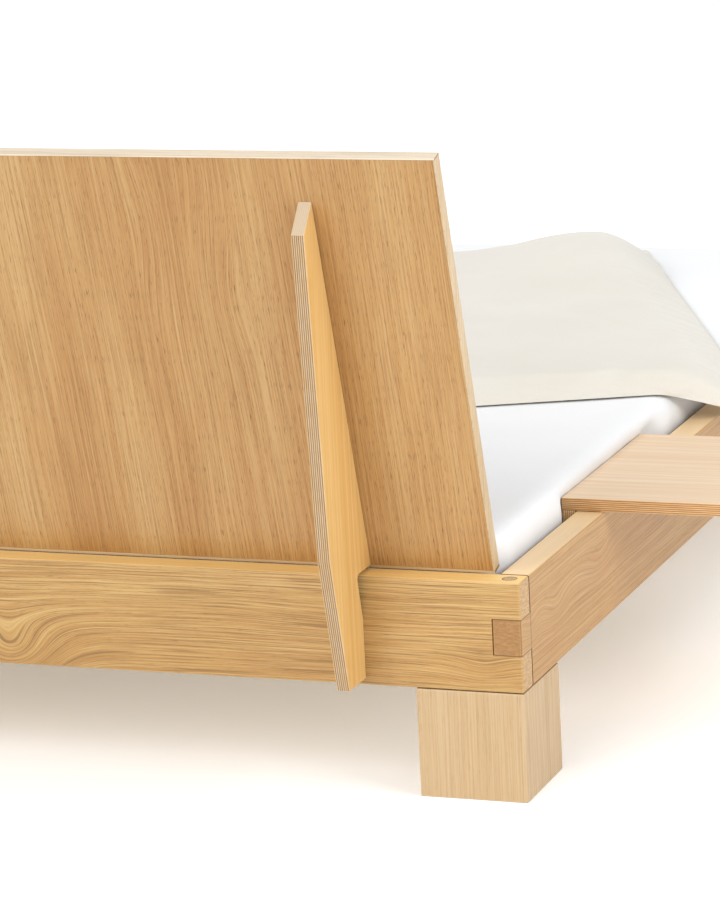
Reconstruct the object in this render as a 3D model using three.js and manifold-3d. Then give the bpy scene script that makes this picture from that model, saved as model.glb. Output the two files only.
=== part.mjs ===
// A low platform bed in oak. A finger-jointed frame stands on four block feet. It carries a leaning
// headboard on two plywood brackets, a slatted base with a centre beam, a mattress and a folded
// duvet. A bedside shelf hooks over one side rail.
//
// Millimetres. +Z is up with the floor at z = 0, and +Y points to the head end. The origin is the
// centre of the whole object's bounding box at floor level. The bed is laid out about the centre of
// its frame first, and the last lines move it onto that origin.

import * as THREE from 'three';
import { RoundedBoxGeometry } from 'three/addons/geometries/RoundedBoxGeometry.js';
import { mergeVertices } from 'three/addons/utils/BufferGeometryUtils.js';
import Module from 'manifold-3d';

const wasm = await Module();
wasm.setup();

// ---------------------------------------------------------------- driving dimensions

// Mattress
const mattressWidth = 1800;
const mattressLength = 2000;
const mattressThickness = 150;
const mattressCleatGap = 3; // between its side and the shelf's inner cleat
const mattressFootGap = 5;
const mattressArris = 25;

// Frame rails, finger-jointed at the corners
const railHeight = 150;
const railThickness = 40;
const railArris = 3;
const tenonHeight = 50; // the side rail's tenon, between the end rail's two fingers
const cornerDowelDiameter = 20;

// Feet
const footWidth = 150;
const footHeight = 150;
const footArris = 2;
const footReveal = 0.8; // shadow line between a foot and the rails
const centreLegWidth = 70;

// Headboard
const headboardLean = THREE.MathUtils.degToRad(15.9);
const headboardHeight = 600; // along the slope, over both lippings
const headboardThickness = 19;
const headboardSideGap = 6.4; // from the side rail's inner face
const headboardFootGap = 2; // from its front lower edge to the mattress
const lippingThickness = 2;
const bottomLippingThickness = 4;

// Plywood brackets behind the headboard
const bracketThickness = 18;
const bracketInset = 228; // frame's outer side to the bracket's middle plane
const bracketRise = 4; // underside above the rail
const bracketTopSlope = 538; // front of the top cut, along the headboard's slope
const bracketTopBackSlope = 511;
const bracketTopBackDepth = 41; // back of the top cut, square off the headboard
const bracketKneeDepth = 107; // behind the rail's outer face
const bracketKneeRise = 45; // above the rail
const bracketToeDepth = 61.5;
const bracketToeRise = 9.5; // above the rail's underside
const bracketReliefDepth = 13.5;
const bracketReliefHeight = 58; // cleared stretch below the rail's top
const bracketArris = 0.8;

// Bedside shelf
const shelfLength = 385; // along the rail
const shelfReach = 300; // outwards from the rail
const shelfCleatLip = 1; // board past the inner cleat
const shelfFromHead = 371; // head rail's outer face to the shelf's nearer edge
const shelfBoardThickness = 18;
const shelfArris = 1.2;
const cleatThickness = 18;
const outerCleatLength = 180;
const outerCleatDepth = 45;
const shelfSlideGap = 1; // board above the rail, cleats beside it
const shelfHookClearance = 15; // inner cleat above the slats

// Slatted base
const slatCount = 14;
const slatWidth = 90;
const slatThickness = 20;
const slatEndGap = 4;
const slatEdgeMargin = 25; // end rail to the nearest slat
const ledgerWidth = 30;
const ledgerHeight = 25;
const beamWidth = 80;
const beamHeight = 40;
const shoeDepth = 30;
const shoeWall = 15;

// Duvet, folded, lying turned across the mattress with one corner over the side rail
const duvetWidth = 1165;
const duvetLength = 1000;
const duvetThickness = 60;
const duvetTurn = THREE.MathUtils.degToRad(24);
const duvetCornerOverhang = 64; // past the side rail's outer face
const duvetCornerFromHead = 929; // from the head rail's outer face
const duvetRailGap = 9; // drooping corner above the rail

// Hardware
const boltShankDiameter = 8;
const boltHeadDiameter = 16;
const boltHeadLength = 6;
const boltRecessDiameter = 22;
const footBoltReach = 50; // into the rail
const footBoltGrip = 60; // through the foot
const bracketBoltReach = 45; // into the bracket's edge
const bracketBoltHeights = [30, 75]; // above the rail's underside
const bracketBoltSink = 8; // head below the rail's inner face
const screwShankDiameter = 5;
const screwHeadDiameter = 10;
const screwHeadLength = 3;
const panelScrewLength = 55;
const panelScrewSlopes = [140, 470]; // along the headboard's slope
const shelfDowelDiameter = 8;
const shelfDowelInBoard = 10;
const shelfDowelInCleat = 20;
const shelfDowelEndDistance = 40;

// Clearances
const jointGap = 0.4; // finger joints and bores round dowels
const restGap = 0.3; // pieces that lie on or against each other
const drillGap = 0.3; // round fasteners

// ---------------------------------------------------------------- sizes worked out from them

// Across the bed, the shelf's inner cleat hangs between the side rail and the mattress.
const mattressSideGap = shelfSlideGap + cleatThickness + mattressCleatGap;
const innerWidth = mattressWidth + 2 * mattressSideGap;
const outerWidth = innerWidth + 2 * railThickness;
const shelfInset = railThickness + shelfSlideGap + cleatThickness + shelfCleatLip;

// Along the bed, the headboard's lower edge stands between the head rail and the mattress.
const mattressHeadGap =
  restGap + headboardThickness * Math.cos(headboardLean) + headboardFootGap;
const innerLength = mattressLength + mattressHeadGap + mattressFootGap;
const outerLength = innerLength + 2 * railThickness;

// Upwards, the ledgers' underside is level with the rails' and clears the feet.
const railBottom = footHeight;
const railTop = railBottom + railHeight;
const railMiddle = railBottom + railHeight / 2;
const ledgerTop = railBottom + ledgerHeight;
const slatTop = ledgerTop + restGap + slatThickness;
const mattressTop = slatTop + restGap + mattressThickness;
const beamBottom = ledgerTop - beamHeight;

// ---------------------------------------------------------------- materials

function finish(name, color, roughness, metalness = 0) {
  return new THREE.MeshStandardMaterial({ name, color, roughness, metalness });
}

const solidOak = finish('solid_oak', 0xdeb377, 0.45);
const footOak = finish('foot_oak', 0xe2c08e, 0.5);
const oakVeneer = finish('oak_veneer', 0xcf9a5c, 0.4);
const oakLipping = finish('oak_lipping', 0xe6c594, 0.45);
const plywood = finish('plywood', 0xe6bb78, 0.5);
const shelfPly = finish('shelf_ply', 0xecd3b2, 0.35);
const slatPine = finish('slat_pine', 0xe3cfa4, 0.7);
const zincSteel = finish('zinc_steel', 0xb9bcc0, 0.35, 0.9);
const whiteCotton = finish('white_cotton', 0xf0f2f5, 0.9);
const creamCotton = finish('cream_cotton', 0xeee8dc, 0.9);

// ---------------------------------------------------------------- geometry helpers

// A closed solid for cutting, from a geometry whose matching corners are first joined.
function toSolid(geometry) {
  const bare = geometry.clone();
  bare.deleteAttribute('normal');
  bare.deleteAttribute('uv');
  const merged = mergeVertices(bare, 1e-3);
  return new wasm.Manifold(new wasm.Mesh({
    numProp: 3,
    vertProperties: new Float32Array(merged.attributes.position.array),
    triVerts: new Uint32Array(merged.index.array),
  }));
}

function toGeometry(solid) {
  const mesh = solid.getMesh();
  const geometry = new THREE.BufferGeometry();
  geometry.setAttribute('position', new THREE.BufferAttribute(mesh.vertProperties, 3));
  geometry.setIndex(new THREE.BufferAttribute(mesh.triVerts, 1));
  geometry.computeVertexNormals();
  return geometry;
}

function cut(geometry, cutters) {
  let solid = toSolid(geometry);
  for (const cutter of cutters) {
    solid = solid.subtract(toSolid(cutter));
  }
  return toGeometry(solid);
}

// A box between two corners.
function block(low, high) {
  const size = new THREE.Vector3(...high).sub(new THREE.Vector3(...low));
  const geometry = new THREE.BoxGeometry(size.x, size.y, size.z);
  geometry.translate(low[0] + size.x / 2, low[1] + size.y / 2, low[2] + size.z / 2);
  return geometry;
}

// A turned solid along +Z from a list of [radius, height] corners off the axis.
function turned(corners, sides) {
  const first = corners[0][1];
  const last = corners[corners.length - 1][1];
  const outline = [[0, first], ...corners, [0, last]].map(([r, h]) => new THREE.Vector2(r, h));
  const geometry = new THREE.LatheGeometry(outline, sides);
  geometry.rotateX(Math.PI / 2);
  return geometry;
}

function rod(diameter, low, high, sides = 24) {
  return turned([[diameter / 2, low], [diameter / 2, high]], sides);
}

function place(mesh, x, y, z) {
  mesh.position.set(x, y, z);
  return mesh;
}

function piece(name, geometry, material) {
  const mesh = new THREE.Mesh(geometry, material);
  mesh.name = name;
  return mesh;
}

// ---------------------------------------------------------------- frame

const bed = new THREE.Group();

// End rail, centred on its own middle: two fingers at each end with a slot for the tenon.
function endRailGeometry() {
  const body = new RoundedBoxGeometry(outerWidth, railThickness, railHeight, 3, railArris);
  const slots = [-1, 1].map((side) => {
    const inner = outerWidth / 2 - railThickness - jointGap;
    const outer = outerWidth / 2 + railThickness;
    return block(
      [side > 0 ? inner : -outer, -railThickness, -tenonHeight / 2],
      [side > 0 ? outer : -inner, railThickness, tenonHeight / 2],
    );
  });
  return cut(body, slots);
}

// Side rail, centred on its own middle: a tenon at each end, flush with the end rail's face.
function sideRailGeometry() {
  const body = new RoundedBoxGeometry(railThickness, outerLength, railHeight, 3, railArris);
  const shoulder = outerLength / 2 - railThickness - jointGap;
  const tenonHalf = tenonHeight / 2 - jointGap;
  const notches = [];
  for (const end of [-1, 1]) {
    for (const level of [-1, 1]) {
      notches.push(block(
        [-railThickness, end > 0 ? shoulder : -outerLength, level > 0 ? tenonHalf : -railHeight],
        [railThickness, end > 0 ? outerLength : -shoulder, level > 0 ? railHeight : -tenonHalf],
      ));
    }
  }
  return cut(body, notches);
}

const endRailY = (outerLength - railThickness) / 2;
const sideRailX = (outerWidth - railThickness) / 2;
const headRail = place(piece('head_rail', endRailGeometry(), solidOak), 0, endRailY, railMiddle);
const footRail = place(piece('foot_rail', endRailGeometry(), solidOak), 0, -endRailY, railMiddle);
const sideRails = [
  place(piece('side_rail_right', sideRailGeometry(), solidOak), -sideRailX, 0, railMiddle),
  place(piece('side_rail_left', sideRailGeometry(), solidOak), sideRailX, 0, railMiddle),
];
bed.add(headRail, footRail, ...sideRails);

// ---------------------------------------------------------------- fasteners and their holes

// Every fastener carries the shape of its hole, and is listed with the pieces it passes through.
const fastenings = [];

function fasten(fastener, hole, parent, pieces) {
  fastener.userData.hole = hole;
  parent.add(fastener);
  fastenings.push({ fastener, pieces });
}

// Headed fastener along +Z: its head is at the bottom, its shank points up from z = 0.
function headed(shank, head, headLength, length) {
  return turned([
    [head / 2, -headLength],
    [head / 2, 0],
    [shank / 2, 0],
    [shank / 2, length],
  ], 16);
}

function headedHole(shank, recess, length, recessLength) {
  return turned([
    [recess / 2, -recessLength],
    [recess / 2, drillGap],
    [shank / 2 + drillGap, drillGap],
    [shank / 2 + drillGap, length + drillGap],
  ], 16);
}

// ---------------------------------------------------------------- corners: dowels, feet, foot bolts

const corners = [
  { name: 'head_right', x: -1, y: 1, rails: [headRail, sideRails[0]] },
  { name: 'head_left', x: 1, y: 1, rails: [headRail, sideRails[1]] },
  { name: 'foot_right', x: -1, y: -1, rails: [footRail, sideRails[0]] },
  { name: 'foot_left', x: 1, y: -1, rails: [footRail, sideRails[1]] },
];

for (const corner of corners) {
  const dowel = piece(`corner_dowel_${corner.name}`, rod(cornerDowelDiameter, 0, railHeight), footOak);
  place(dowel, corner.x * sideRailX, corner.y * endRailY, railBottom);
  const bore = rod(cornerDowelDiameter + 2 * jointGap, -railHeight, 2 * railHeight);
  fasten(dowel, bore, bed, corner.rails);

  const blockHeight = footHeight - footReveal;
  const foot = piece(
    `foot_${corner.name}`,
    new RoundedBoxGeometry(footWidth, footWidth, blockHeight, 2, footArris),
    footOak,
  );
  const footX = corner.x * (outerWidth - footWidth) / 2;
  const footY = corner.y * (outerLength - footWidth) / 2;
  bed.add(place(foot, footX, footY, blockHeight / 2));

  const bolt = piece(
    `foot_bolt_${corner.name}`,
    headed(boltShankDiameter, boltHeadDiameter, boltHeadLength, footBoltGrip + footBoltReach),
    zincSteel,
  );
  place(bolt, footX, corner.y * endRailY, railBottom - footBoltGrip);
  const hole = headedHole(
    boltShankDiameter, boltRecessDiameter, footBoltGrip + footBoltReach, footHeight,
  );
  fasten(bolt, hole, bed, [foot, corner.rails[0]]);
}

// ---------------------------------------------------------------- headboard

// The headboard group's origin is the back face's lower edge. Its local +Z runs up the slope and
// its local -Y points through the board to the mattress.
const headboard = new THREE.Group();
const headboardWidth = innerWidth - 2 * headboardSideGap;
place(headboard, 0, outerLength / 2 - railThickness - restGap, railTop + restGap);
headboard.rotation.x = -headboardLean;
bed.add(headboard);

const coreBottom = bottomLippingThickness + restGap;
const coreTop = headboardHeight - lippingThickness - restGap;
const coreHalf = headboardWidth / 2 - lippingThickness - restGap;
const panel = piece(
  'headboard_panel',
  block([-coreHalf, -headboardThickness, coreBottom], [coreHalf, 0, coreTop]),
  oakVeneer,
);
headboard.add(panel);

const lippingHalf = headboardWidth / 2;
headboard.add(piece(
  'headboard_lipping_bottom',
  block([-lippingHalf, -headboardThickness, 0], [lippingHalf, 0, bottomLippingThickness]),
  oakLipping,
));
headboard.add(piece(
  'headboard_lipping_top',
  block(
    [-lippingHalf, -headboardThickness, headboardHeight - lippingThickness],
    [lippingHalf, 0, headboardHeight],
  ),
  oakLipping,
));
for (const [name, side] of [['right', -1], ['left', 1]]) {
  const strip = block(
    [-lippingThickness / 2, -headboardThickness, coreBottom],
    [lippingThickness / 2, 0, coreTop],
  );
  const lipping = piece(`headboard_lipping_${name}`, strip, oakLipping);
  headboard.add(place(lipping, side * (lippingHalf - lippingThickness / 2), 0, 0));
}

// ---------------------------------------------------------------- headboard brackets

// A point of the bracket's outline from its place up the headboard's slope and behind its back
// face, as [distance behind the rail's outer face, height above the rail's underside].
function offHeadboard(slope, depth) {
  const along = Math.sin(headboardLean);
  const up = Math.cos(headboardLean);
  return [
    -railThickness - restGap + slope * along + depth * up,
    railHeight + restGap + slope * up - depth * along,
  ];
}

function bracketGeometry() {
  const underside = railHeight + bracketRise;
  const frontSlope = (bracketRise - restGap) / Math.cos(headboardLean);
  const outline = new THREE.Shape();
  outline.moveTo(restGap, bracketToeRise);
  outline.lineTo(restGap, railHeight - bracketReliefHeight);
  outline.lineTo(bracketReliefDepth, railHeight - railArris);
  outline.quadraticCurveTo(bracketReliefDepth, underside, bracketReliefDepth / 4, underside);
  outline.lineTo(offHeadboard(frontSlope, restGap)[0], underside);
  outline.lineTo(...offHeadboard(bracketTopSlope, restGap));
  outline.lineTo(...offHeadboard(bracketTopBackSlope, bracketTopBackDepth));
  outline.lineTo(bracketKneeDepth, railHeight + bracketKneeRise);
  outline.lineTo(bracketToeDepth, bracketToeRise);
  outline.closePath();
  const geometry = new THREE.ExtrudeGeometry(outline, {
    depth: bracketThickness - 2 * bracketArris,
    bevelEnabled: true,
    bevelSize: bracketArris,
    bevelOffset: -bracketArris,
    bevelThickness: bracketArris,
    bevelSegments: 1,
    curveSegments: 5,
  });
  geometry.translate(0, 0, bracketArris - bracketThickness / 2);
  // The outline's two axes become +Y and +Z, and its thickness lies along X.
  geometry.applyMatrix4(new THREE.Matrix4().makeBasis(
    new THREE.Vector3(0, 1, 0),
    new THREE.Vector3(0, 0, 1),
    new THREE.Vector3(1, 0, 0),
  ));
  return geometry;
}

for (const [name, side] of [['right', -1], ['left', 1]]) {
  const bracketX = side * (outerWidth / 2 - bracketInset);
  const bracket = piece(`headboard_bracket_${name}`, bracketGeometry(), plywood);
  bed.add(place(bracket, bracketX, outerLength / 2, railBottom));

  // Bolts through the head rail from inside the bed, into the bracket's edge.
  bracketBoltHeights.forEach((height, index) => {
    const length = railThickness - bracketBoltSink + bracketBoltReach;
    const bolt = piece(
      `bracket_bolt_${name}_${index + 1}`,
      headed(boltShankDiameter, boltHeadDiameter, boltHeadLength, length),
      zincSteel,
    );
    bolt.rotation.x = -Math.PI / 2;
    place(bolt, bracketX, outerLength / 2 - railThickness + bracketBoltSink, railBottom + height);
    const hole = headedHole(boltShankDiameter, boltRecessDiameter, length, railThickness);
    fasten(bolt, hole, bed, [headRail, bracket]);
  });

  // Screws from the headboard's front into the bracket's front edge.
  panelScrewSlopes.forEach((slope, index) => {
    const screw = piece(
      `panel_screw_${name}_${index + 1}`,
      headed(screwShankDiameter, screwHeadDiameter, screwHeadLength, panelScrewLength),
      zincSteel,
    );
    screw.rotation.x = -Math.PI / 2;
    place(screw, bracketX, screwHeadLength + restGap - headboardThickness, slope);
    const hole = headedHole(
      screwShankDiameter, screwHeadDiameter + 2 * drillGap, panelScrewLength, headboardThickness,
    );
    fasten(screw, hole, headboard, [panel, bracket]);
  });
}

// ---------------------------------------------------------------- bedside shelf

// The shelf group's origin is on the rail's outer top edge, at the middle of the shelf's length.
// Its local +X points into the bed.
const shelf = new THREE.Group();
place(shelf, -outerWidth / 2, outerLength / 2 - shelfFromHead - shelfLength / 2, railTop);
bed.add(shelf);

const boardSize = [shelfReach + shelfInset, shelfLength, shelfBoardThickness];
const board = piece('shelf_board', new RoundedBoxGeometry(...boardSize, 1, shelfArris), shelfPly);
shelf.add(place(
  board, (shelfInset - shelfReach) / 2, 0, shelfSlideGap + shelfBoardThickness / 2,
));

const cleatTop = shelfSlideGap - restGap;
const innerCleatDepth = railTop + cleatTop - slatTop - shelfHookClearance;
const innerCleat = piece(
  'shelf_inner_cleat',
  new RoundedBoxGeometry(cleatThickness, shelfLength, innerCleatDepth, 1, shelfArris),
  plywood,
);
const innerCleatX = railThickness + shelfSlideGap + cleatThickness / 2;
shelf.add(place(innerCleat, innerCleatX, 0, cleatTop - innerCleatDepth / 2));

const outerCleat = piece(
  'shelf_outer_cleat',
  new RoundedBoxGeometry(cleatThickness, outerCleatLength, outerCleatDepth, 1, shelfArris),
  plywood,
);
const outerCleatX = -shelfSlideGap - cleatThickness / 2;
const outerCleatY = (outerCleatLength - shelfLength) / 2;
shelf.add(place(outerCleat, outerCleatX, outerCleatY, cleatTop - outerCleatDepth / 2));

// Blind dowels join each cleat to the board's underside.
const cleats = [
  { name: 'inner', mesh: innerCleat, x: innerCleatX, y: 0, length: shelfLength },
  { name: 'outer', mesh: outerCleat, x: outerCleatX, y: outerCleatY, length: outerCleatLength },
];
for (const cleat of cleats) {
  [-1, 1].forEach((end, index) => {
    const dowel = piece(
      `shelf_dowel_${cleat.name}_${index + 1}`,
      rod(shelfDowelDiameter, -shelfDowelInCleat, shelfDowelInBoard, 16),
      footOak,
    );
    const dowelY = cleat.y + end * (cleat.length / 2 - shelfDowelEndDistance);
    place(dowel, cleat.x, dowelY, shelfSlideGap);
    const bore = rod(
      shelfDowelDiameter + 2 * drillGap,
      -shelfDowelInCleat - drillGap,
      shelfDowelInBoard + drillGap,
      16,
    );
    fasten(dowel, bore, shelf, [cleat.mesh, board]);
  });
}

// ---------------------------------------------------------------- slatted base

const ledgerLength = innerLength - 2 * restGap;
for (const [name, side] of [['right', -1], ['left', 1]]) {
  const ledger = piece(
    `slat_ledger_${name}`,
    new THREE.BoxGeometry(ledgerWidth, ledgerLength, ledgerHeight),
    slatPine,
  );
  const ledgerX = side * (innerWidth / 2 - restGap - ledgerWidth / 2);
  bed.add(place(ledger, ledgerX, 0, ledgerTop - ledgerHeight / 2));
}

// The centre beam drops into a U-shaped shoe on each end rail and stands on one leg.
const beamLength = innerLength - 4 * restGap;
const beam = piece(
  'centre_beam',
  new THREE.BoxGeometry(beamWidth, beamLength, beamHeight),
  slatPine,
);
bed.add(place(beam, 0, 0, ledgerTop - beamHeight / 2));

for (const [name, end] of [['head', 1], ['foot', -1]]) {
  const shoeHalf = beamWidth / 2 + shoeWall;
  const body = block([-shoeHalf, -shoeDepth / 2, -shoeWall], [shoeHalf, shoeDepth / 2, beamHeight]);
  const seat = block(
    [-beamWidth / 2 - restGap, -shoeDepth, -restGap],
    [beamWidth / 2 + restGap, shoeDepth, 2 * beamHeight],
  );
  const shoe = piece(`beam_shoe_${name}`, cut(body, [seat]), slatPine);
  const shoeY = end * (innerLength / 2 - restGap - shoeDepth / 2);
  bed.add(place(shoe, 0, shoeY, beamBottom - restGap));
}

const centreLegHeight = beamBottom - restGap;
const centreLeg = piece(
  'centre_leg',
  new RoundedBoxGeometry(centreLegWidth, centreLegWidth, centreLegHeight, 2, footArris),
  footOak,
);
bed.add(place(centreLeg, 0, 0, centreLegHeight / 2));

const slatLength = innerWidth - 2 * slatEndGap;
const slatSpan = innerLength - 2 * slatEdgeMargin - slatWidth;
for (let index = 0; index < slatCount; index += 1) {
  const slat = piece(
    `slat_${String(index + 1).padStart(2, '0')}`,
    new THREE.BoxGeometry(slatLength, slatWidth, slatThickness),
    slatPine,
  );
  const slatY = slatSpan * (0.5 - index / (slatCount - 1));
  bed.add(place(slat, 0, slatY, slatTop - slatThickness / 2));
}

// ---------------------------------------------------------------- mattress and duvet

const mattress = piece(
  'mattress',
  new RoundedBoxGeometry(mattressWidth, mattressLength, mattressThickness, 2, mattressArris),
  whiteCotton,
);
const mattressY = (mattressFootGap - mattressHeadGap) / 2;
bed.add(place(mattress, 0, mattressY, mattressTop - mattressThickness / 2));

// The duvet is a flat slab turned about its overhanging corner. Beyond the side rail's middle it
// droops by the square of the distance, and stays above the rail.
function duvetGeometry() {
  const geometry = new THREE.BoxGeometry(duvetLength, duvetWidth, duvetThickness, 16, 18, 1);
  geometry.translate(duvetLength / 2, -duvetWidth / 2, duvetThickness / 2);
  geometry.rotateZ(duvetTurn);
  const overhang = railThickness / 2 + duvetCornerOverhang;
  const droop = mattressTop + restGap - railTop - duvetRailGap;
  const position = geometry.attributes.position;
  for (let i = 0; i < position.count; i += 1) {
    const beyond = Math.max(0, overhang - position.getX(i));
    position.setZ(i, position.getZ(i) - droop * (beyond / overhang) ** 2);
  }
  return geometry;
}

bed.add(place(
  piece('duvet', duvetGeometry(), creamCotton),
  -outerWidth / 2 - duvetCornerOverhang,
  outerLength / 2 - duvetCornerFromHead,
  mattressTop + restGap,
));

// ---------------------------------------------------------------- drilling

// Each piece loses the holes of the fasteners that pass through it, in the piece's own frame.
bed.updateMatrixWorld(true);
const holesByPiece = new Map();
for (const { fastener, pieces } of fastenings) {
  for (const target of pieces) {
    const toTarget = target.matrixWorld.clone().invert().multiply(fastener.matrixWorld);
    const hole = fastener.userData.hole.clone().applyMatrix4(toTarget);
    holesByPiece.set(target, [...(holesByPiece.get(target) ?? []), hole]);
  }
}
for (const [target, holes] of holesByPiece) {
  target.geometry = cut(target.geometry, holes);
}

// ---------------------------------------------------------------- origin

const bounds = new THREE.Box3().setFromObject(bed, true);
const centre = bounds.getCenter(new THREE.Vector3());
bed.position.set(-centre.x, -centre.y, 0);

export default bed;
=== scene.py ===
"""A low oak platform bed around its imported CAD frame: procedural wood, plywood, steel and cotton,
a fitted sheet, a folded duvet, a white studio and the camera.

Everything is in metres in the part's own frame: +Z up, +Y towards the head end, and the bedside
shelf on the -X side. Sizes and places come from the CAD nodes' boxes.
"""
import math

import bpy
from mathutils import Matrix, Vector, noise


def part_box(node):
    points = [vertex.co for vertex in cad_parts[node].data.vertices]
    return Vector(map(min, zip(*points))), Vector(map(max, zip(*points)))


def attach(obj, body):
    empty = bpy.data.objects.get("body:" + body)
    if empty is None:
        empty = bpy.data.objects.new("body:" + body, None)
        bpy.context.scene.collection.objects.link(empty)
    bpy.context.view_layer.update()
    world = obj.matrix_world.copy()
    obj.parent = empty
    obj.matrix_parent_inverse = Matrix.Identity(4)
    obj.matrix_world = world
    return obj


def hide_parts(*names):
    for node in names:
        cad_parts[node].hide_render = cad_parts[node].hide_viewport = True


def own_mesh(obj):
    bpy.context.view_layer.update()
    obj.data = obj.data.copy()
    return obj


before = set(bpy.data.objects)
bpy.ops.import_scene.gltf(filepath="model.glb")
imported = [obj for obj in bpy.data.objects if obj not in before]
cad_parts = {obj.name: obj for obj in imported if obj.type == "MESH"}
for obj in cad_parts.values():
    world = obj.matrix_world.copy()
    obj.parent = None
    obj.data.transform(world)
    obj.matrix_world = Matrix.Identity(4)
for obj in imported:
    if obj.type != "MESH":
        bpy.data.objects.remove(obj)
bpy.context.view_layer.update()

# ---------------------------------------------------------------- places taken from the frame

rail_low, rail_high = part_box("side_rail_right")
_, head_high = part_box("head_rail")
mattress_low, mattress_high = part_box("mattress")
duvet_low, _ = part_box("duvet")
board_low, board_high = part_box("shelf_board")
panel_low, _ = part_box("headboard_panel")

# The bed's near corner: where the side rail's and the head rail's outer faces meet, at the rails'
# underside.
bed_corner = Vector((rail_low.x, head_high.y, rail_low.z))
rail_thickness = rail_high.x - rail_low.x
HEADBOARD_LEAN = math.radians(15.9)


# ---------------------------------------------------------------- camera, light and floor

LENS = 162.06  # millimetres, on a 36 mm sensor
CAMERA_OFFSET = Vector((-1.6319, 4.8016, 1.5409))  # from the bed's near corner
CAMERA_HEADING = 180 + 21.003  # degrees: 180 looks towards the foot end
CAMERA_DIP = 13.351
CAMERA_ROLL = -2.899


def make_camera():
    """Looks down on the near corner from behind the head end."""
    data = bpy.data.cameras.new("camera")
    data.lens = LENS
    data.sensor_width = 36
    data.clip_end = 200
    camera = bpy.data.objects.new("camera", data)
    bpy.context.scene.collection.objects.link(camera)
    heading = Matrix.Rotation(math.radians(CAMERA_HEADING), 4, "Z")
    pitch = Matrix.Rotation(math.radians(90 - CAMERA_DIP), 4, "X")
    roll = Matrix.Rotation(math.radians(CAMERA_ROLL), 4, "Z")
    place = Matrix.Translation(bed_corner + CAMERA_OFFSET)
    camera.matrix_world = place @ heading @ pitch @ roll
    bpy.context.scene.camera = camera


def area_light(name, place, target, size, power):
    """A square softbox that faces its target."""
    data = bpy.data.lights.new(name, "AREA")
    data.shape = "SQUARE"
    data.size = size
    data.energy = power
    light = bpy.data.objects.new(name, data)
    light.location = place
    aim = Vector(target) - Vector(place)
    light.rotation_euler = aim.to_track_quat("-Z", "Y").to_euler()
    bpy.context.scene.collection.objects.link(light)


def soft_sun(name, towards, power, spread):
    """An even light from one direction, as wide as a big softbox."""
    data = bpy.data.lights.new(name, "SUN")
    data.energy = power
    data.angle = math.radians(spread)
    light = bpy.data.objects.new(name, data)
    light.rotation_euler = (-towards).to_track_quat("-Z", "Y").to_euler()
    bpy.context.scene.collection.objects.link(light)


def make_studio():
    """A white room: an even sky, a wide soft key from the head end, two fills and a pale floor."""
    world = bpy.data.worlds.new("studio")
    world.use_nodes = True
    background = world.node_tree.nodes["Background"]
    background.inputs["Color"].default_value = (1.0, 0.99, 0.98, 1)
    background.inputs["Strength"].default_value = 0.65
    scene = bpy.context.scene
    scene.world = world
    scene.view_settings.view_transform = "Standard"
    target = bed_corner + Vector((0.4, -0.2, 0.1))
    soft_sun("key", Vector((0.42, 1.0, 0.72)), 1.80, 44)
    soft_sun("top", Vector((-0.15, -0.55, 1.0)), 0.38, 60)
    area_light("side_fill", target + Vector((-3.3, 1.1, 1.8)), target, 1.8, 56)

    half = 40.0  # the floor reaches this far each way
    mesh = bpy.data.meshes.new("floor")
    corners = [(-half, -half, 0), (half, -half, 0), (half, half, 0), (-half, half, 0)]
    mesh.from_pydata(corners, [], [(0, 1, 2, 3)])
    floor = bpy.data.objects.new("floor", mesh)
    scene.collection.objects.link(floor)
    paint = Shader("floor_paint", roughness=0.8)
    mottle = paint.noise(paint.position(), (3, 3, 3), detail=3)
    paint.colour(paint.ramp(mottle, [(0.3, (0.91, 0.91, 0.91)), (0.7, (0.93, 0.93, 0.93))]))
    paint.bsdf.inputs["Emission Color"].default_value = (0.97, 0.99, 1, 1)
    paint.bsdf.inputs["Emission Strength"].default_value = 0.23
    floor.data.materials.append(paint.material)


# ---------------------------------------------------------------- shader building

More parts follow.
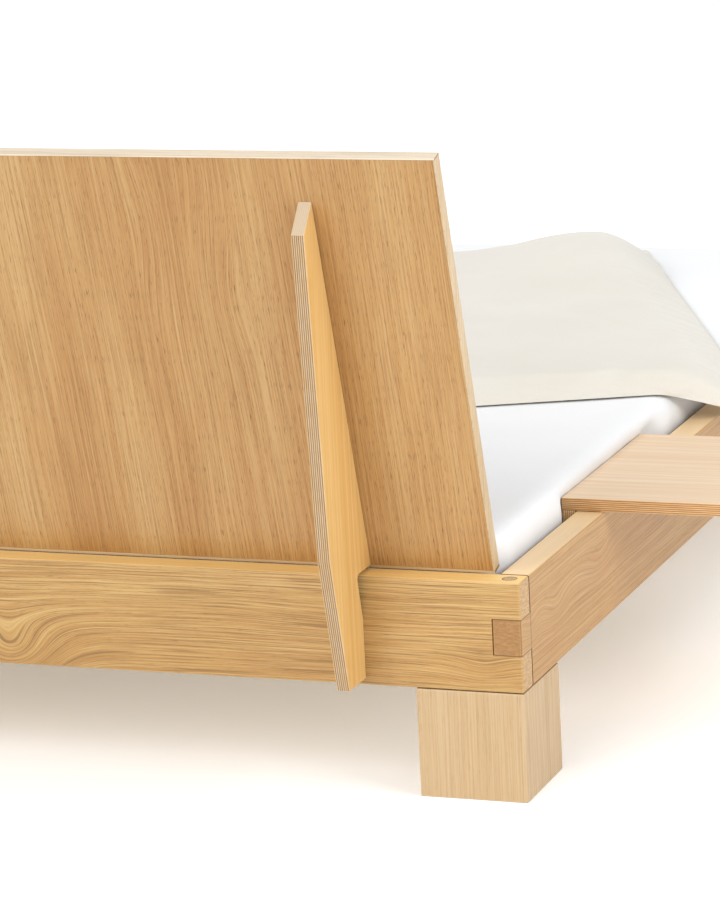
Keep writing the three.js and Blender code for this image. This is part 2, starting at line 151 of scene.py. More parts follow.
class Shader:
    """One material's node tree, built by short calls that return an output socket."""

    def __init__(self, name, roughness, metallic=0.0, sheen=0.0):
        self.material = bpy.data.materials.new(name)
        self.material.use_nodes = True
        self.tree = self.material.node_tree
        self.bsdf = self.tree.nodes["Principled BSDF"]
        self.bsdf.inputs["Roughness"].default_value = roughness
        self.bsdf.inputs["Metallic"].default_value = metallic
        self.bsdf.inputs["Sheen Weight"].default_value = sheen
        self.coordinates = self.tree.nodes.new("ShaderNodeTexCoord")

    def add(self, kind, inputs, output=0, **settings):
        node = self.tree.nodes.new("ShaderNode" + kind)
        for key, value in settings.items():
            setattr(node, key, value)
        for key, value in inputs.items():
            if isinstance(value, bpy.types.NodeSocket):
                self.tree.links.new(value, node.inputs[key])
            else:
                node.inputs[key].default_value = value
        return node.outputs[output]

    def position(self):
        return self.coordinates.outputs["Object"]

    def normal(self):
        return self.coordinates.outputs["Normal"]

    def math(self, operation, a, b=0.0, c=0.0):
        return self.add("Math", {0: a, 1: b, 2: c}, operation=operation)

    def vector(self, operation, a, b):
        return self.add("VectorMath", {0: a, 1: b}, operation=operation)

    def turn(self, vector, tilt):
        """The vector turned about X."""
        if not tilt:
            return vector
        return self.add("VectorRotate", {
            "Vector": vector, "Axis": (1.0, 0.0, 0.0), "Angle": tilt,
        }, rotation_type="AXIS_ANGLE")

    def split(self, vector):
        node = self.tree.nodes.new("ShaderNodeSeparateXYZ")
        self.tree.links.new(vector, node.inputs[0])
        return node.outputs

    def join(self, x, y, z):
        return self.add("CombineXYZ", {0: x, 1: y, 2: z})

    def noise(self, vector, scale, detail=2.0, roughness=0.5, distortion=0.0):
        """Noise from 0 to 1, with its own scale along each axis, in features per metre."""
        scaled = self.vector("MULTIPLY", vector, scale)
        return self.add("TexNoise", {
            "Vector": scaled, "Scale": 1.0, "Detail": detail,
            "Roughness": roughness, "Distortion": distortion,
        })

    def ramp(self, value, stops):
        node = self.tree.nodes.new("ShaderNodeValToRGB")
        self.tree.links.new(value, node.inputs[0])
        band = node.color_ramp
        while len(band.elements) < len(stops):
            band.elements.new(1.0)
        for element, (place, colour) in zip(band.elements, stops):
            element.position = place
            element.color = (*colour, 1)
        return node.outputs[0]

    def step(self, value, low, high):
        """Rises smoothly from 0 at low to 1 at high. Low may be the larger one."""
        return self.add("MapRange", {
            "Value": value, "From Min": low, "From Max": high, "To Min": 0.0, "To Max": 1.0,
        }, interpolation_type="SMOOTHSTEP")

    def blend(self, factor, a, b):
        node = self.tree.nodes.new("ShaderNodeMix")
        node.data_type = "RGBA"
        for key, value in ((0, factor), (6, a), (7, b)):
            if isinstance(value, bpy.types.NodeSocket):
                self.tree.links.new(value, node.inputs[key])
            else:
                node.inputs[key].default_value = (*value, 1) if key else value
        return node.outputs[2]

    def colour(self, socket):
        self.tree.links.new(socket, self.bsdf.inputs["Base Color"])

    def roughness(self, value, low, high):
        spread = self.add("MapRange", {
            "Value": value, "From Min": 0.25, "From Max": 0.75, "To Min": low, "To Max": high,
        })
        self.tree.links.new(spread, self.bsdf.inputs["Roughness"])

    def bump(self, height, distance, strength=1.0, below=None):
        inputs = {"Height": height, "Distance": distance, "Strength": strength}
        if below is not None:
            inputs["Normal"] = below
        result = self.add("Bump", inputs)
        self.tree.links.new(result, self.bsdf.inputs["Normal"])
        return result


def shade(r, g, b):
    """A display colour from 0 to 255 as the linear colour that a shader takes."""
    def linear(value):
        value /= 255
        return value / 12.92 if value <= 0.04045 else ((value + 0.055) / 1.055) ** 2.4
    return linear(r), linear(g), linear(b)


# ---------------------------------------------------------------- wood

AXES = "XYZ"


def local_point(s, origin, tilt=0.0):
    """The surface point from an origin, turned back by the tilt about X."""
    return s.turn(s.vector("SUBTRACT", s.position(), tuple(origin)), tilt)


def edge_distance(s, point, low, high):
    """How far a point on a box's surface is from the box's nearest edge."""
    middle = tuple((a + b) / 2 for a, b in zip(low, high))
    half = tuple((b - a) / 2 for a, b in zip(low, high))
    off = s.add("VectorMath", {0: s.vector("SUBTRACT", point, middle)}, operation="ABSOLUTE")
    x, y, z = s.split(s.vector("SUBTRACT", half, off))
    pairs = [s.math("MAXIMUM", x, y), s.math("MAXIMUM", y, z), s.math("MAXIMUM", x, z)]
    return s.math("MINIMUM", pairs[0], s.math("MINIMUM", pairs[1], pairs[2]))


def grain_flow(s, point, axes, sway, knots=()):
    """Coordinates that follow the grain, along, across and through it, and how near a knot is.

    Each knot is (along, across, lift, length, width): the lines part round that point, and close
    into loops where the lift is larger than the width.
    """
    parts = s.split(point)
    along, across, depth = (parts[AXES.index(letter)] for letter in axes)
    straight = s.join(along, across, depth)
    slow = s.noise(straight, (1.3, 5.0, 5.0), detail=1.0)
    quick = s.noise(straight, (9.0, 26.0, 26.0), detail=2.0)
    shift = s.math("MULTIPLY_ADD", slow, sway * 2.0, -sway)
    shift = s.math("ADD", shift, s.math("MULTIPLY_ADD", quick, sway * 0.22, -sway * 0.11))
    stain = 0.0
    for knot_along, knot_across, lift, length, width in knots:
        u = s.math("MULTIPLY", s.math("SUBTRACT", along, knot_along), 1 / length)
        v = s.math("MULTIPLY", s.math("SUBTRACT", across, knot_across), 1 / width)
        square = s.math("ADD", s.math("MULTIPLY", u, u), s.math("MULTIPLY", v, v))
        hill = s.math("EXPONENT", s.math("MULTIPLY", square, -1.0))
        shift = s.math("MULTIPLY_ADD", hill, lift, shift)
        stain = s.math("MAXIMUM", hill, stain)
    return s.join(along, s.math("ADD", across, shift), depth), stain


def end_grain(s, letter, tilt=0.0):
    """1 on faces square to the grain, 0 on the others."""
    part = s.split(s.turn(s.normal(), tilt))[AXES.index(letter)]
    return s.step(s.math("ABSOLUTE", part), 0.75, 0.95)


def tinter(gain):
    """Makes a function from a display colour to a shader's, times a share and the gain."""
    def tint(colour, share=1.0):
        return tuple(part * share * more for part, more in zip(shade(*colour), gain))
    return tint


USUAL_BAND = 0.26


def wood(name, axes, tones, origin, tilt=0.0, sway=0.03, ring=0.0045, contrast=1.0, pore=0.5,
         knots=(), edges=None, gloss=(0.36, 0.52), end_tone=(176, 138, 96), gain=(1, 1, 1),
         joint=None, bore=None, streak=0.35, band=USUAL_BAND, painted_top_light=None):
    """Sawn timber or veneer.

    axes gives the grain's axis, the one across it and the one through the depth. tones are four
    colours from dark to light, each times gain. ring is the spacing of the growth lines, streak how
    dark the thin lines between them are, and band the share of the broad bands. edges is the box
    whose arrises are worn, and painted_top_light the colour of the painted light on the faces that
    look up. joint is the box of a tenon with a painted shadow line round it, for the shade in the
    joint's gap, and bore the middle and radius of a dowel with a dark ring.
    """
    tint = tinter(gain)
    s = Shader(name, roughness=gloss[0])
    point = local_point(s, origin, tilt)
    flow, stain = grain_flow(s, point, axes, sway, knots)
    line = 1 / ring
    lines = s.noise(flow, (2.2, line, line * 0.3), detail=2.0, roughness=0.55)
    threads = s.noise(flow, (14.0, line * 3.1, line * 1.2), detail=2.0, roughness=0.6)
    patches = s.noise(flow, (1.0, 9.0, 9.0), detail=1.0)
    weight = s.math("MULTIPLY", lines, 0.40)
    weight = s.math("MULTIPLY_ADD", threads, 0.34, weight)
    weight = s.math("MULTIPLY_ADD", patches, band, weight)
    weight = s.math("SUBTRACT", weight, (band - USUAL_BAND) / 2)  # keeps its mean
    weight = s.math("MULTIPLY_ADD", stain, -0.03, weight)
    spread = 0.16 / contrast
    colour = s.ramp(weight, [
        (0.5 - spread, tint(tones[0])),
        (0.5 - spread * 0.3, tint(tones[1])),
        (0.5 + spread * 0.25, tint(tones[2])),
        (0.5 + spread, tint(tones[3])),
    ])
    thin = s.noise(flow, (5.5, line * 1.7, line * 0.5), detail=2.0, roughness=0.65)
    thin = s.step(thin, 0.50, 0.36)
    colour = s.blend(s.math("MULTIPLY", thin, streak), colour, tint(tones[0], 0.66))
    specks = s.noise(flow, (62.0, 1150.0, 1150.0), detail=1.0)
    crowded = s.step(lines, 0.62, 0.42)
    crowded = s.math("MULTIPLY_ADD", crowded, 0.7, 0.3)
    pores = s.math("MULTIPLY", s.step(specks, 0.60, 0.70), crowded)
    colour = s.blend(s.math("MULTIPLY", pores, pore), colour, tint(tones[0], 0.5))

    # Painted light: the faces that look up are lightened towards this colour, as light from above
    # falls on them.
    if painted_top_light:
        lit_top = s.step(s.split(s.normal())[2], 0.6, 0.9)
        colour = s.blend(s.math("MULTIPLY", lit_top, 0.75), colour, shade(*painted_top_light))
    ends = end_grain(s, axes[0], tilt)
    cracks = s.step(s.noise(point, (380.0, 380.0, 380.0), detail=3.0), 0.44, 0.30)
    cut = s.ramp(lines, [(0.35, tint(end_tone, 0.72)), (0.65, tint(end_tone))])
    cut = s.blend(s.math("MULTIPLY", cracks, 0.45), cut, tint(end_tone, 0.36))
    colour = s.blend(ends, colour, cut)
    if edges:
        worn = s.step(edge_distance(s, s.position(), *edges), 0.0035, 0.0005)
        colour = s.blend(s.math("MULTIPLY", worn, 0.35), colour, tint(tones[3]))
    if joint:
        # Painted shadow: a dark line round the tenon, for the shade that falls in the joint's gap.
        # Only on the part of the box that is timber: its inner end lies along the rail.
        joint_shadow = s.step(s.math("ABSOLUTE", edge_distance(s, s.position(), *joint)), 0.0019, 0.0008)
        y = s.split(s.position())[1]
        joint_shadow = s.math("MULTIPLY", joint_shadow, s.step(y, joint[0].y - 0.0015, joint[0].y - 0.0005))
        colour = s.blend(s.math("MULTIPLY", joint_shadow, 0.8), colour, shade(104, 66, 34))
    if bore:
        middle, radius = bore
        x, y, z = s.split(s.vector("SUBTRACT", s.position(), tuple(middle)))
        off = s.math("SQRT", s.math("ADD", s.math("MULTIPLY", x, x), s.math("MULTIPLY", y, y)))
        rim = s.step(off, radius - 0.0016, radius - 0.0005)
        colour = s.blend(s.math("MULTIPLY", rim, 0.75), colour, shade(120, 80, 44))
    s.colour(colour)
    s.roughness(lines, gloss[1], gloss[0])
    relief = s.math("MULTIPLY_ADD", threads, 0.6, s.math("MULTIPLY", lines, 0.4))
    relief = s.math("SUBTRACT", relief, s.math("MULTIPLY", pores, 0.8))
    s.bump(relief, 0.00018, 0.6)
    return s.material


PLIES = 13
PLY_GLOSS = (0.38, 0.5)


def plywood(name, thick, low, high, face_axis, face_tones, edge_tones, painted_top_light_share=0.0, gain=(1, 1, 1)):
    """Birch plywood: veneer on its faces, stacked plies on its edges.

    thick is the axis through the thickness, from low to high, and face_axis the grain's axis on the
    faces. painted_top_light_share is how far the edges that face up are lightened by painted light.
    """
    tint = tinter(gain)
    s = Shader(name, roughness=PLY_GLOSS[0])
    point = s.position()
    depth = s.split(point)[AXES.index(thick)]
    place = s.math("MULTIPLY", s.math("SUBTRACT", depth, low), PLIES / (high - low))
    layer = s.math("FLOOR", place)
    inside = s.math("FRACT", place)
    odd = s.math("FRACT", s.math("MULTIPLY", layer, 0.5))
    odd = s.step(odd, 0.2, 0.3)

    other = next(a for a in AXES if a not in (thick, face_axis))
    flow, _ = grain_flow(s, point, face_axis + other + thick, 0.02)
    lines = s.noise(flow, (2.0, 150.0, 60.0), detail=2.0)
    threads = s.noise(flow, (22.0, 900.0, 300.0), detail=2.0)
    weight = s.math("MULTIPLY_ADD", threads, 0.35, s.math("MULTIPLY", lines, 0.65))
    face = s.ramp(weight, [(0.32, tint(face_tones[0])), (0.66, tint(face_tones[1]))])

    wobble = s.noise(flow, (40.0, 40.0, 700.0), detail=2.0)
    cells = s.noise(flow, (60.0, 60.0, 1300.0), detail=2.0)
    long_ply = s.ramp(wobble, [(0.3, tint(edge_tones[2])), (0.7, tint(edge_tones[3]))])
    end_ply = s.ramp(cells, [(0.3, tint(edge_tones[0])), (0.7, tint(edge_tones[1]))])
    edge = s.blend(odd, long_ply, end_ply)
    rim = s.math("ABSOLUTE", s.math("SUBTRACT", inside, 0.5))
    glue = s.step(rim, 0.36, 0.5)
    edge = s.blend(s.math("MULTIPLY", glue, 0.45), edge, tint(edge_tones[0], 0.48))
    holes = s.noise(point, (70.0, 70.0, 70.0), detail=0.0)
    holes = s.math("MULTIPLY", s.step(holes, 0.80, 0.84), odd)
    edge = s.blend(holes, edge, shade(70, 44, 26))

    across = s.math("ABSOLUTE", s.split(s.normal())[AXES.index(thick)])
    on_face = s.step(across, 0.55, 0.85)
    # Painted light: the edges that face up are lightened, as the light from above falls on them.
    lit_top = s.step(s.split(s.normal())[2], 0.3, 0.6)
    edge = s.blend(s.math("MULTIPLY", lit_top, painted_top_light_share), edge, tint(edge_tones[3]))
    s.colour(s.blend(on_face, edge, face))
    s.roughness(lines, PLY_GLOSS[1], PLY_GLOSS[0])
    relief = s.math("MULTIPLY_ADD", odd, -0.5, s.math("MULTIPLY", threads, 0.5))
    s.bump(relief, 0.00012, 0.5)
    return s.material


OAK = [(200, 152, 90), (213, 169, 106), (223, 183, 120), (233, 197, 138)]
OAK_SIDE = [(194, 148, 94), (206, 164, 110), (217, 179, 126), (228, 194, 144)]
OAK_PALE = [(210, 172, 120), (219, 184, 133), (228, 196, 148), (237, 209, 166)]
VENEER = [(190, 138, 80), (203, 155, 96), (212, 168, 110), (220, 181, 126)]
LIPPING = [(214, 186, 146), (224, 198, 160), (232, 208, 174), (240, 220, 190)]
PINE = [(196, 160, 108), (214, 184, 134), (228, 202, 156), (238, 216, 176)]

RAIL_GAIN = (0.67, 0.65, 0.58)
SIDE_GAIN = (0.69, 0.61, 0.45)
FOOT_GAIN = (0.68, 0.69, 0.74)
PANEL_GAIN = (0.71, 0.70, 0.65)
LIPPING_EDGE_GAIN = (0.70, 0.67, 0.61)

# Knots: along and across from the piece's origin, lift, length, width.
HEAD_RAIL_KNOTS = [
    (0.738, 0.006, 0.062, 0.078, 0.060),
    (0.054, 0.030, 0.010, 0.040, 0.022),
    (0.42, 0.09, -0.006, 0.12, 0.03),
]
SIDE_RAIL_KNOTS = [
    (-0.147, 0.077, 0.016, 0.050, 0.024),
    (-0.040, 0.080, 0.010, 0.030, 0.020),
    (-0.349, 0.088, 0.016, 0.060, 0.024),
    (-0.90, 0.060, 0.030, 0.060, 0.030),
]
PANEL_KNOTS = [
    (0.494, 0.449, 0.018, 0.120, 0.030),
    (0.395, 0.354, -0.012, 0.080, 0.022),
    (0.595, 0.375, 0.016, 0.120, 0.030),
    (0.215, 0.442, 0.010, 0.160, 0.030),
    (0.300, 1.30, 0.024, 0.150, 0.050),
]


def make_wood():
    """Gives every timber node its own grain."""
    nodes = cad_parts
    corner = bed_corner

    # The tenon that shows at the head end: the middle third of the rail's height.
    half_tenon = (rail_high.z - rail_low.z) / 6
    middle = (rail_high.z + rail_low.z) / 2
    tenon = (
        Vector((rail_low.x, rail_high.y - rail_thickness, middle - half_tenon)),
        Vector((rail_high.x, rail_high.y, middle + half_tenon)),
    )

    def give(material, *names):
        for name in names:
            nodes[name].data.materials.clear()
            nodes[name].data.materials.append(material)

    give(wood("oak_head_rail", "XZY", OAK, corner, sway=0.008, ring=0.0030, contrast=1.7,
              streak=0.9, knots=HEAD_RAIL_KNOTS, edges=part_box("head_rail"),
              end_tone=(234, 190, 136), gain=RAIL_GAIN, painted_top_light=(248, 212, 138)), "head_rail")
    give(wood("oak_foot_rail", "XZY", OAK, corner + Vector((0.3, -2.1, 0.0)), sway=0.02,
              ring=0.0052, knots=[(0.5, 0.05, 0.05, 0.06, 0.04)], edges=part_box("foot_rail")),
         "foot_rail")
    give(wood("oak_side_rail_right", "YZX", OAK_SIDE, corner, sway=0.010, ring=0.0030, streak=0.4,
              knots=SIDE_RAIL_KNOTS, edges=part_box("side_rail_right"), end_tone=(196, 154, 106),
              gain=SIDE_GAIN, contrast=0.8, joint=tenon, painted_top_light=(248, 218, 172)),
         "side_rail_right")
    give(wood("oak_side_rail_left", "YZX", OAK_SIDE, corner + Vector((1.9, 0.2, 0.0)), sway=0.02,
              ring=0.0050, knots=[(-0.6, 0.07, 0.05, 0.06, 0.04), (-1.5, 0.09, 0.03, 0.05, 0.03)],
              edges=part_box("side_rail_left")), "side_rail_left")

    for name in ("head_right", "head_left", "foot_right", "foot_left"):
        low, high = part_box("foot_" + name)
        give(wood("oak_foot_" + name, "ZXY", OAK_PALE, low, sway=0.004, ring=0.0024, contrast=0.8,
                  pore=0.25, streak=0.3, edges=(low, high), gain=FOOT_GAIN), "foot_" + name)
    for name in [n for n in nodes if "dowel" in n]:
        low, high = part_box(name)
        give(wood("oak_" + name, "ZXY", OAK, low, sway=0.004, ring=0.003, gain=RAIL_GAIN,
                  end_tone=(226, 190, 138), bore=((low + high) / 2, (high.x - low.x) / 2)), name)
    low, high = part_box("centre_leg")
    give(wood("oak_centre_leg", "ZXY", OAK_PALE, low, sway=0.010, edges=(low, high)), "centre_leg")

    # The panel's own frame: its foot on the head rail, with the tilt taken out.
    foot = Vector((bed_corner.x, bed_corner.y - rail_thickness, panel_low.z))
    give(wood("oak_panel", "ZXY", VENEER, foot, tilt=HEADBOARD_LEAN, sway=0.009, ring=0.0034,
              contrast=1.2, pore=0.9, streak=0.40, band=0.5, knots=PANEL_KNOTS,
              gloss=(0.34, 0.46), gain=PANEL_GAIN), "headboard_panel")
    # The top strip's gain is painted light: lighter and cooler than the others, as it faces up to
    # the light.
    for name, axes, gain in (
        ("top", "XYZ", (0.87, 0.95, 1.10)), ("bottom", "XYZ", (0.76, 0.73, 0.66)),
        ("right", "ZYX", LIPPING_EDGE_GAIN), ("left", "ZYX", LIPPING_EDGE_GAIN),
    ):
        give(wood("oak_lipping_" + name, axes, LIPPING, foot, sway=0.004, ring=0.004, contrast=0.7,
                  pore=0.2, gain=gain), "headboard_lipping_" + name)

    for name in ("right", "left"):
        low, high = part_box("headboard_bracket_" + name)
        give(plywood("ply_bracket_" + name, "X", low.x, high.x, "Z",
                     [(222, 166, 92), (238, 192, 124)],
                     [(132, 96, 62), (166, 126, 84), (204, 162, 106), (208, 181, 150)],
                     painted_top_light_share=0.9, gain=(0.86, 0.93, 0.98)), "headboard_bracket_" + name)
    low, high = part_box("shelf_board")
    give(plywood("ply_shelf", "Z", low.z, high.z, "X",
                 [(230, 200, 160), (242, 222, 194)],
                 [(160, 110, 60), (190, 140, 84), (214, 172, 118), (232, 200, 150)],
                 gain=(0.94, 0.90, 0.88)), "shelf_board")
    for name in ("inner", "outer"):
        low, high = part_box(f"shelf_{name}_cleat")
        give(plywood(f"ply_{name}_cleat", "X", low.x, high.x, "Y",
                     [(222, 176, 110), (236, 200, 142)],
                     [(168, 118, 66), (196, 148, 92), (218, 180, 126), (236, 206, 160)]),
             f"shelf_{name}_cleat")

    slats = [n for n in nodes if n.startswith("slat_") and "ledger" not in n]
    give(wood("pine_slats", "XYZ", PINE, corner, sway=0.02, ring=0.007, contrast=0.8, pore=0.15,
              gloss=(0.55, 0.7)), *slats)
    give(wood("pine_lengthways", "YXZ", PINE, corner, sway=0.02, ring=0.007, contrast=0.8,
              pore=0.15, gloss=(0.55, 0.7)), "slat_ledger_right", "slat_ledger_left", "centre_beam")
    give(wood("pine_shoes", "XYZ", PINE, corner, sway=0.01, ring=0.005, gloss=(0.55, 0.7)),
         "beam_shoe_head", "beam_shoe_foot")


def make_steel():
    """Zinc-plated fasteners: a spangled bright grey."""
    s = Shader("zinc", roughness=0.35, metallic=1.0)
    spangle = s.noise(s.position(), (420.0, 420.0, 420.0), detail=3.0)
    s.colour(s.ramp(spangle, [(0.3, (0.45, 0.46, 0.48)), (0.7, (0.68, 0.69, 0.70))]))
    s.roughness(spangle, 0.28, 0.5)
    s.bump(spangle, 0.00005, 0.4)
    for name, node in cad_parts.items():
        if "bolt" in name or "screw" in name:
            node.data.materials.clear()
            node.data.materials.append(s.material)


# ---------------------------------------------------------------- cloth

def cotton(name, light, dark, thread, weave=0.5, sheen=0.25):
    """Plain woven cotton: two crossing sets of threads, slubs, and a soft uneven tone."""
    s = Shader(name, roughness=0.85, sheen=sheen)
    point = s.position()
    x, y, z = s.split(point)
    turn = 2 * math.pi / thread
    wide = s.math("SINE", s.math("MULTIPLY", s.math("ADD", x, s.math("MULTIPLY", z, 0.6)), turn))
    deep = s.math("SINE", s.math("MULTIPLY", s.math("ADD", y, s.math("MULTIPLY", z, 0.6)), turn))
    cloth = s.math("MULTIPLY", wide, deep)
    slubs_x = s.noise(point, (30.0, 700.0, 300.0), detail=2.0)
    slubs_y = s.noise(point, (700.0, 30.0, 300.0), detail=2.0)
    slubs = s.math("MULTIPLY", s.math("ADD", slubs_x, slubs_y), 0.5)
    mottle = s.noise(point, (5.0, 5.0, 5.0), detail=2.0)
    tone = s.math("MULTIPLY_ADD", slubs, 0.5, s.math("MULTIPLY", mottle, 0.5))
    s.colour(s.ramp(tone, [(0.36, dark), (0.62, light)]))
    s.roughness(slubs, 0.78, 0.92)
    fine = s.bump(s.math("MULTIPLY_ADD", cloth, 0.25, slubs), 0.0002, weave)
    creases = s.noise(point, (14.0, 14.0, 14.0), detail=3.0, roughness=0.45, distortion=0.6)
    s.bump(creases, 0.004, 0.12, below=fine)
    return s.material


def mesh_object(name, points, faces, material):
    """A smooth mesh object from points and faces, refined by one subdivision."""
    mesh = bpy.data.meshes.new(name)
    mesh.from_pydata([tuple(p) for p in points], [], faces)
    mesh.validate()
    mesh.update()
    mesh.shade_smooth()
    mesh.materials.append(material)
    piece = bpy.data.objects.new(name, mesh)
    bpy.context.scene.collection.objects.link(piece)
    refine = piece.modifiers.new("refine", "SUBSURF")
    refine.levels = refine.render_levels = 1
    return piece


def ripple(point, scale, seed):
    """Smooth seeded noise at a point, from about -1 to 1."""
    x, y, z = (part * more for part, more in zip(point, scale))
    return noise.noise(Vector((x, y, z + seed)))


def smooth(value, low, high):
    """Rises smoothly from 0 at low to 1 at high. Low may be the larger one."""
    t = min(1.0, max(0.0, (value - low) / (high - low)))
    return t * t * (3 - 2 * t)


def box_lattice(low, high, cell):
    """Lattice points over a box's surface and the quads between them, as (points, faces)."""
    counts = [max(2, round((b - a) / cell)) for a, b in zip(low, high)]
    index = {}
    points = []

    def at(*ijk):
        if ijk not in index:
            index[ijk] = len(points)
            points.append([a + (b - a) * n / c for a, b, n, c in zip(low, high, ijk, counts)])
        return index[ijk]

    faces = []
    for axis in range(3):
        u, v = (axis + 1) % 3, (axis + 2) % 3
        for side in (0, counts[axis]):
            for i in range(counts[u]):
                for j in range(counts[v]):
                    loop = []
                    for du, dv in ((0, 0), (1, 0), (1, 1), (0, 1)):
                        ijk = [0, 0, 0]
                        ijk[axis], ijk[u], ijk[v] = side, i + du, j + dv
                        loop.append(at(*ijk))
                    faces.append(loop if side else loop[::-1])
    return points, faces


def rounded(point, low, high, radius):
    """Moves a point of a box's surface onto the rounded box, and gives its normal too."""
    core = Vector([min(max(p, a + radius), b - radius) for p, a, b in zip(point, low, high)])
    out = (Vector(point) - core).normalized()
    return core + out * radius, out


MATTRESS_ROUND = 0.013
BELLY = 0.0165  # how far a side swells past the CAD solid, between the shelf's cleat and the ends
LIP = 0.008  # how far the upper edge stands out all along a side
PUCKER = 0.0016
CROWN = 0.0016
CELL = 0.0155  # of the mattress's lattice
CORE_INSET = 0.004
HEM = 0.06
SHEET_CLEAR = 0.0012


def side_swell(y, shelf_side):
    """1 where a mattress side is free to swell, 0 beside the shelf's cleat and at the ends."""
    ends = smooth(mattress_high.y - y, 0.0, 0.05) * smooth(y - mattress_low.y, 0.0, 0.05)
    if not shelf_side:
        return ends
    head = smooth(y, board_high.y + 0.001, board_high.y + 0.035)
    foot = smooth(y, board_low.y - 0.042, board_low.y - 0.085)
    return ends * max(head, foot)


def mattress_shape(point, low, high, swell):
    """Where a box's point goes on a mattress: swollen, puckered sides with a lip, a soft top."""
    place, out = rounded(point, low, high, MATTRESS_ROUND)
    height = place.z - low.z
    full = high.z - low.z
    sides = abs(out.x) > 0.02 or abs(out.y) > 0.02
    belly = smooth(height, 0.0, full * 0.4) * (1 - 0.75 * smooth(height, full - 0.035, full))
    lip = smooth(height, full - 0.0245, full - 0.015)
    if abs(out.x) > 0.05:
        along = 0.93 + 0.07 * ripple((place.y, 0, 0), (7.0, 1, 1), 3.7)
        free = side_swell(place.y, out.x < 0)
        place.x += max(swell * belly * along * free, LIP * lip) * out.x
    if sides:
        pucker = ripple(place, (22.0, 22.0, 5.0), 11.3)
        pucker += 0.5 * ripple(place, (60.0, 60.0, 9.0), 5.1)
        inward = PUCKER * (pucker - 0.9) * smooth(height, full, full - 0.03)
        place += out * inward
    if out.z > 0.5:
        edge = min(place.x - low.x, high.x - place.x, place.y - low.y, high.y - place.y)
        soft = ripple(place, (2.2, 2.2, 1.0), 8.2) + 0.35 * ripple(place, (7.0, 7.0, 1.0), 2.4)
        place.z += CROWN * soft * smooth(edge, 0.0, 0.10) - 0.0012
    return place


def make_mattress():
    """A foam core in a ticking cover, and the fitted sheet stretched over it."""
    points, faces = box_lattice(mattress_low, mattress_high, CELL)
    core_cover = cotton("ticking", (0.72, 0.71, 0.69), (0.62, 0.61, 0.60), 0.0022)
    sheet_cover = cotton("sheet_cotton", (0.85, 0.865, 0.885), (0.82, 0.835, 0.855), 0.0011,
                         weave=0.3)
    inner_low = mattress_low + Vector((1, 1, 0.2)) * CORE_INSET
    inner_high = mattress_high - Vector((1, 1, 1)) * CORE_INSET
    inner = [
        [a + (p - c) * (b - a) / (d - c)
         for p, a, b, c, d in zip(point, inner_low, inner_high, mattress_low, mattress_high)]
        for point in points
    ]
    core = mesh_object(
        "mattress_core",
        [mattress_shape(p, inner_low, inner_high, BELLY) for p in inner],
        faces, core_cover,
    )
    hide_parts("mattress")
    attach(core, "mattress")

    # The sheet leaves the underside open past its elastic hem.
    floor = mattress_low.z + 1e-6
    kept = []
    for face in faces:
        corners = [points[i] for i in face]
        under = all(c[2] < floor for c in corners)
        deep = all(
            min(c[0] - mattress_low.x, mattress_high.x - c[0]) > HEM
            and min(c[1] - mattress_low.y, mattress_high.y - c[1]) > HEM
            for c in corners
        )
        if not (under and deep):
            kept.append(face)
    used = sorted({i for face in kept for i in face})
    number = {old: new for new, old in enumerate(used)}
    sheet = mesh_object(
        "fitted_sheet",
        [mattress_shape(points[i], mattress_low, mattress_high, BELLY) for i in used],
        [[number[i] for i in face] for face in kept], sheet_cover,
    )
    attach(sheet, "mattress")

    # Each piece gets a mesh of its own.
    for piece in (core, sheet):
        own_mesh(piece)


def settle(piece, pinned, reach, growth):
    """Fills a soft piece by cloth simulation.

    pinned are the points that stay, reach is how far any other may move, and growth the spare cloth
    as a share of its size.
    """
    before = [vertex.co.copy() for vertex in piece.data.vertices]
    group = piece.vertex_groups.new(name="pinned")
    group.add(pinned, 1.0, "REPLACE")
    subdivisions = [m for m in piece.modifiers if m.type == "SUBSURF"]
    for modifier in subdivisions:
        modifier.show_viewport = False
    cloth = piece.modifiers.new("settle", "CLOTH")
    settings = cloth.settings
    settings.quality = 6
    settings.mass = 0.25
    settings.tension_stiffness = settings.compression_stiffness = 14
    settings.shear_stiffness = 5
    settings.bending_stiffness = 0.25
    settings.use_pressure = True
    settings.uniform_pressure_force = 3.0
    settings.shrink_min = settings.shrink_max = -growth
    settings.vertex_group_mass = group.name
    settings.effector_weights.gravity = 0.0
    cloth.collision_settings.use_collision = False
    cloth.collision_settings.use_self_collision = False
    scene = bpy.context.scene
    frames = 20
    cloth.point_cache.frame_start, cloth.point_cache.frame_end = 1, frames
    for number in range(1, frames + 1):
        scene.frame_set(number)
    graph = bpy.context.evaluated_depsgraph_get()
    result = piece.evaluated_get(graph).to_mesh()
    moved = [vertex.co.copy() for vertex in result.vertices]
    piece.evaluated_get(graph).to_mesh_clear()
    piece.modifiers.remove(cloth)
    piece.vertex_groups.remove(group)
    scene.frame_set(1)
    for modifier in subdivisions:
        modifier.show_viewport = True
    for vertex, old, new in zip(piece.data.vertices, before, moved):
        move = new - old
        far = move.length
        if far > 1e-7:
            # Slows down towards the reach, so that no flat spot shows where it is met.
            move *= reach * math.tanh(far / reach) / far
        vertex.co = old + move


# ---------------------------------------------------------------- duvet

DUVET_TURN = math.radians(24)
DUVET_NEAR = 1.0  # along the edge that faces the head end
DUVET_SIDE = 1.165  # along the edge that crosses the side rail
DUVET_BACK = 0.929  # from the head rail's outer face to the corner between those edges
FOLD_EDGE = 0.018  # from the folded edge's line to where the upper half starts
DROOP = 0.040  # how far that corner hangs below the rest of the underside
DROOP_POWER = 1.15
DROOP_START = 0.006  # inside the mattress's edge


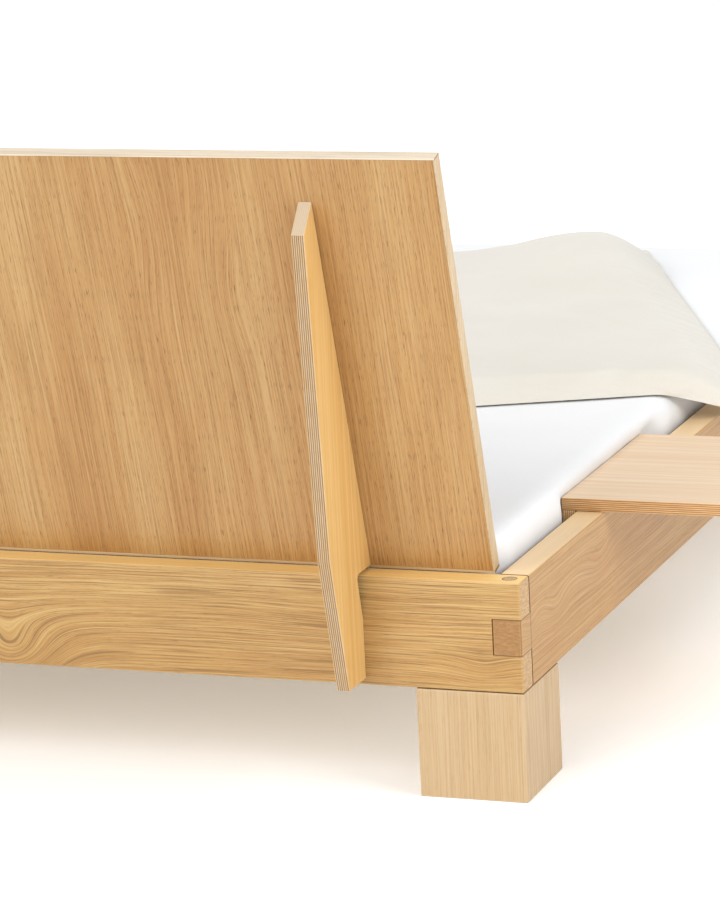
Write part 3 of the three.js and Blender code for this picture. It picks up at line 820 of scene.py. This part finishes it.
def duvet_height(near, side):
    """The folded duvet's full height at a point, from its two edges' corner."""
    body = 0.025
    body += 0.028 * math.exp(-((near - 0.125) / 0.12) ** 2 - ((side - 1.02) / 0.30) ** 2)
    body += 0.007 * math.exp(-((near - 0.55) / 0.22) ** 2 - ((side - 0.35) / 0.3) ** 2)
    body += 0.0045 * ripple((near, side, 0), (6.0, 5.0, 1.0), 4.4)
    body += 0.0020 * ripple((near, side, 0), (17.0, 13.0, 1.0), 9.1)
    # Creases that run in from the corner, and the gathers of the hem along the near edge.
    crease = near - 0.10 - 0.45 * (side - 0.25) - 0.012 * ripple((side, 0, 0), (9.0, 1, 1), 2.2)
    ends = smooth(side, 0.15, 0.35), smooth(0.8 - side, 0, 0.3)
    body -= 0.0028 * math.exp(-(crease / 0.009) ** 2) * ends[0] * ends[1]
    gather = ripple((side, 0, 0), (62.0, 1.0, 1.0), 6.6) * math.exp(-((near - 0.035) / 0.028) ** 2)
    body += 0.0065 * gather
    # A quarter round at the fold, and softer edges on the other three sides.
    fold = 0.0
    if side > FOLD_EDGE:
        fold = math.sqrt(max(0.0, 1 - (1 - min(1, (side - FOLD_EDGE) / 0.045)) ** 2))
    limp = math.sin(math.pi / 2 * min(1.0, (near + 0.005) / 0.10))
    far = smooth(DUVET_SIDE - side, -0.005, 0.09)
    left = smooth(DUVET_NEAR - near, -0.005, 0.08)
    return 0.0035 + body * fold * limp * far * left


def duvet_place(near, side, height):
    """A point of the duvet in the part's frame: turned, on the mattress, drooping over the rail."""
    direction = Vector((math.cos(DUVET_TURN), math.sin(DUVET_TURN)))
    across = Vector((math.sin(DUVET_TURN), -math.cos(DUVET_TURN)))
    start = Vector((duvet_low.x, bed_corner.y - DUVET_BACK))
    flat = start + direction * near + across * side
    past = mattress_low.x + DROOP_START - flat.x
    rest = mattress_high.z + SHEET_CLEAR
    overhang = mattress_low.x - duvet_low.x
    if past > 0:
        rest -= DROOP * (past / overhang) ** DROOP_POWER
    return Vector((flat.x, flat.y, rest + height))


def make_duvet():
    """Two halves of a thin duvet, folded at the edge that faces the head end."""
    cover = cotton("duvet_cotton", (0.70, 0.675, 0.61), (0.665, 0.635, 0.565), 0.0013, weave=0.35,
                   sheen=0.35)
    columns, rows = 84, 96

    def layer(name, near_start, side_start, bottom, top):
        points = []
        for part in (bottom, top):
            for j in range(rows + 1):
                for i in range(columns + 1):
                    # Closer lines towards the edges, where the surface turns.
                    u = 0.5 - 0.5 * math.cos(math.pi * i / columns)
                    v = 0.5 - 0.5 * math.cos(math.pi * j / rows)
                    near = near_start + u * (DUVET_NEAR - near_start)
                    side = side_start + v * (DUVET_SIDE - side_start)
                    points.append(duvet_place(near, side, part(near, side)))
        width = columns + 1
        above = (rows + 1) * width
        faces = []
        for j in range(rows):
            for i in range(columns):
                a = j * width + i
                faces.append((a, a + 1, a + 1 + width, a + width))
                faces.append((above + a, above + a + width, above + a + 1 + width, above + a + 1))
        rim = list(range(width))
        rim += [j * width + columns for j in range(1, rows + 1)]
        rim += [rows * width + i for i in range(columns - 1, -1, -1)]
        rim += [j * width for j in range(rows - 1, 0, -1)]
        for a, b in zip(rim, rim[1:] + rim[:1]):
            faces.append((b, a, above + a, above + b))
        return mesh_object(name, points, faces, cover)

    def split_height(near, side):
        return 0.45 * duvet_height(near, side) * smooth(side, 0.04, 0.11)

    upper = layer(
        "duvet_upper", 0.004, FOLD_EDGE,
        lambda n, s: split_height(n, s) + 0.0004,
        duvet_height,
    )
    lower = layer(
        "duvet_lower", 0.0, 0.08,
        lambda n, s: 0.0,
        lambda n, s: max(0.0012, split_height(n, s) - 0.0006),
    )
    under = (rows + 1) * (columns + 1)
    settle(upper, list(range(under)), reach=0.006, growth=0.02)
    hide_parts("duvet")
    for half in (upper, lower):
        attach(half, "duvet")


# ---------------------------------------------------------------- build

make_camera()
make_studio()
make_wood()
make_steel()
make_mattress()
make_duvet()
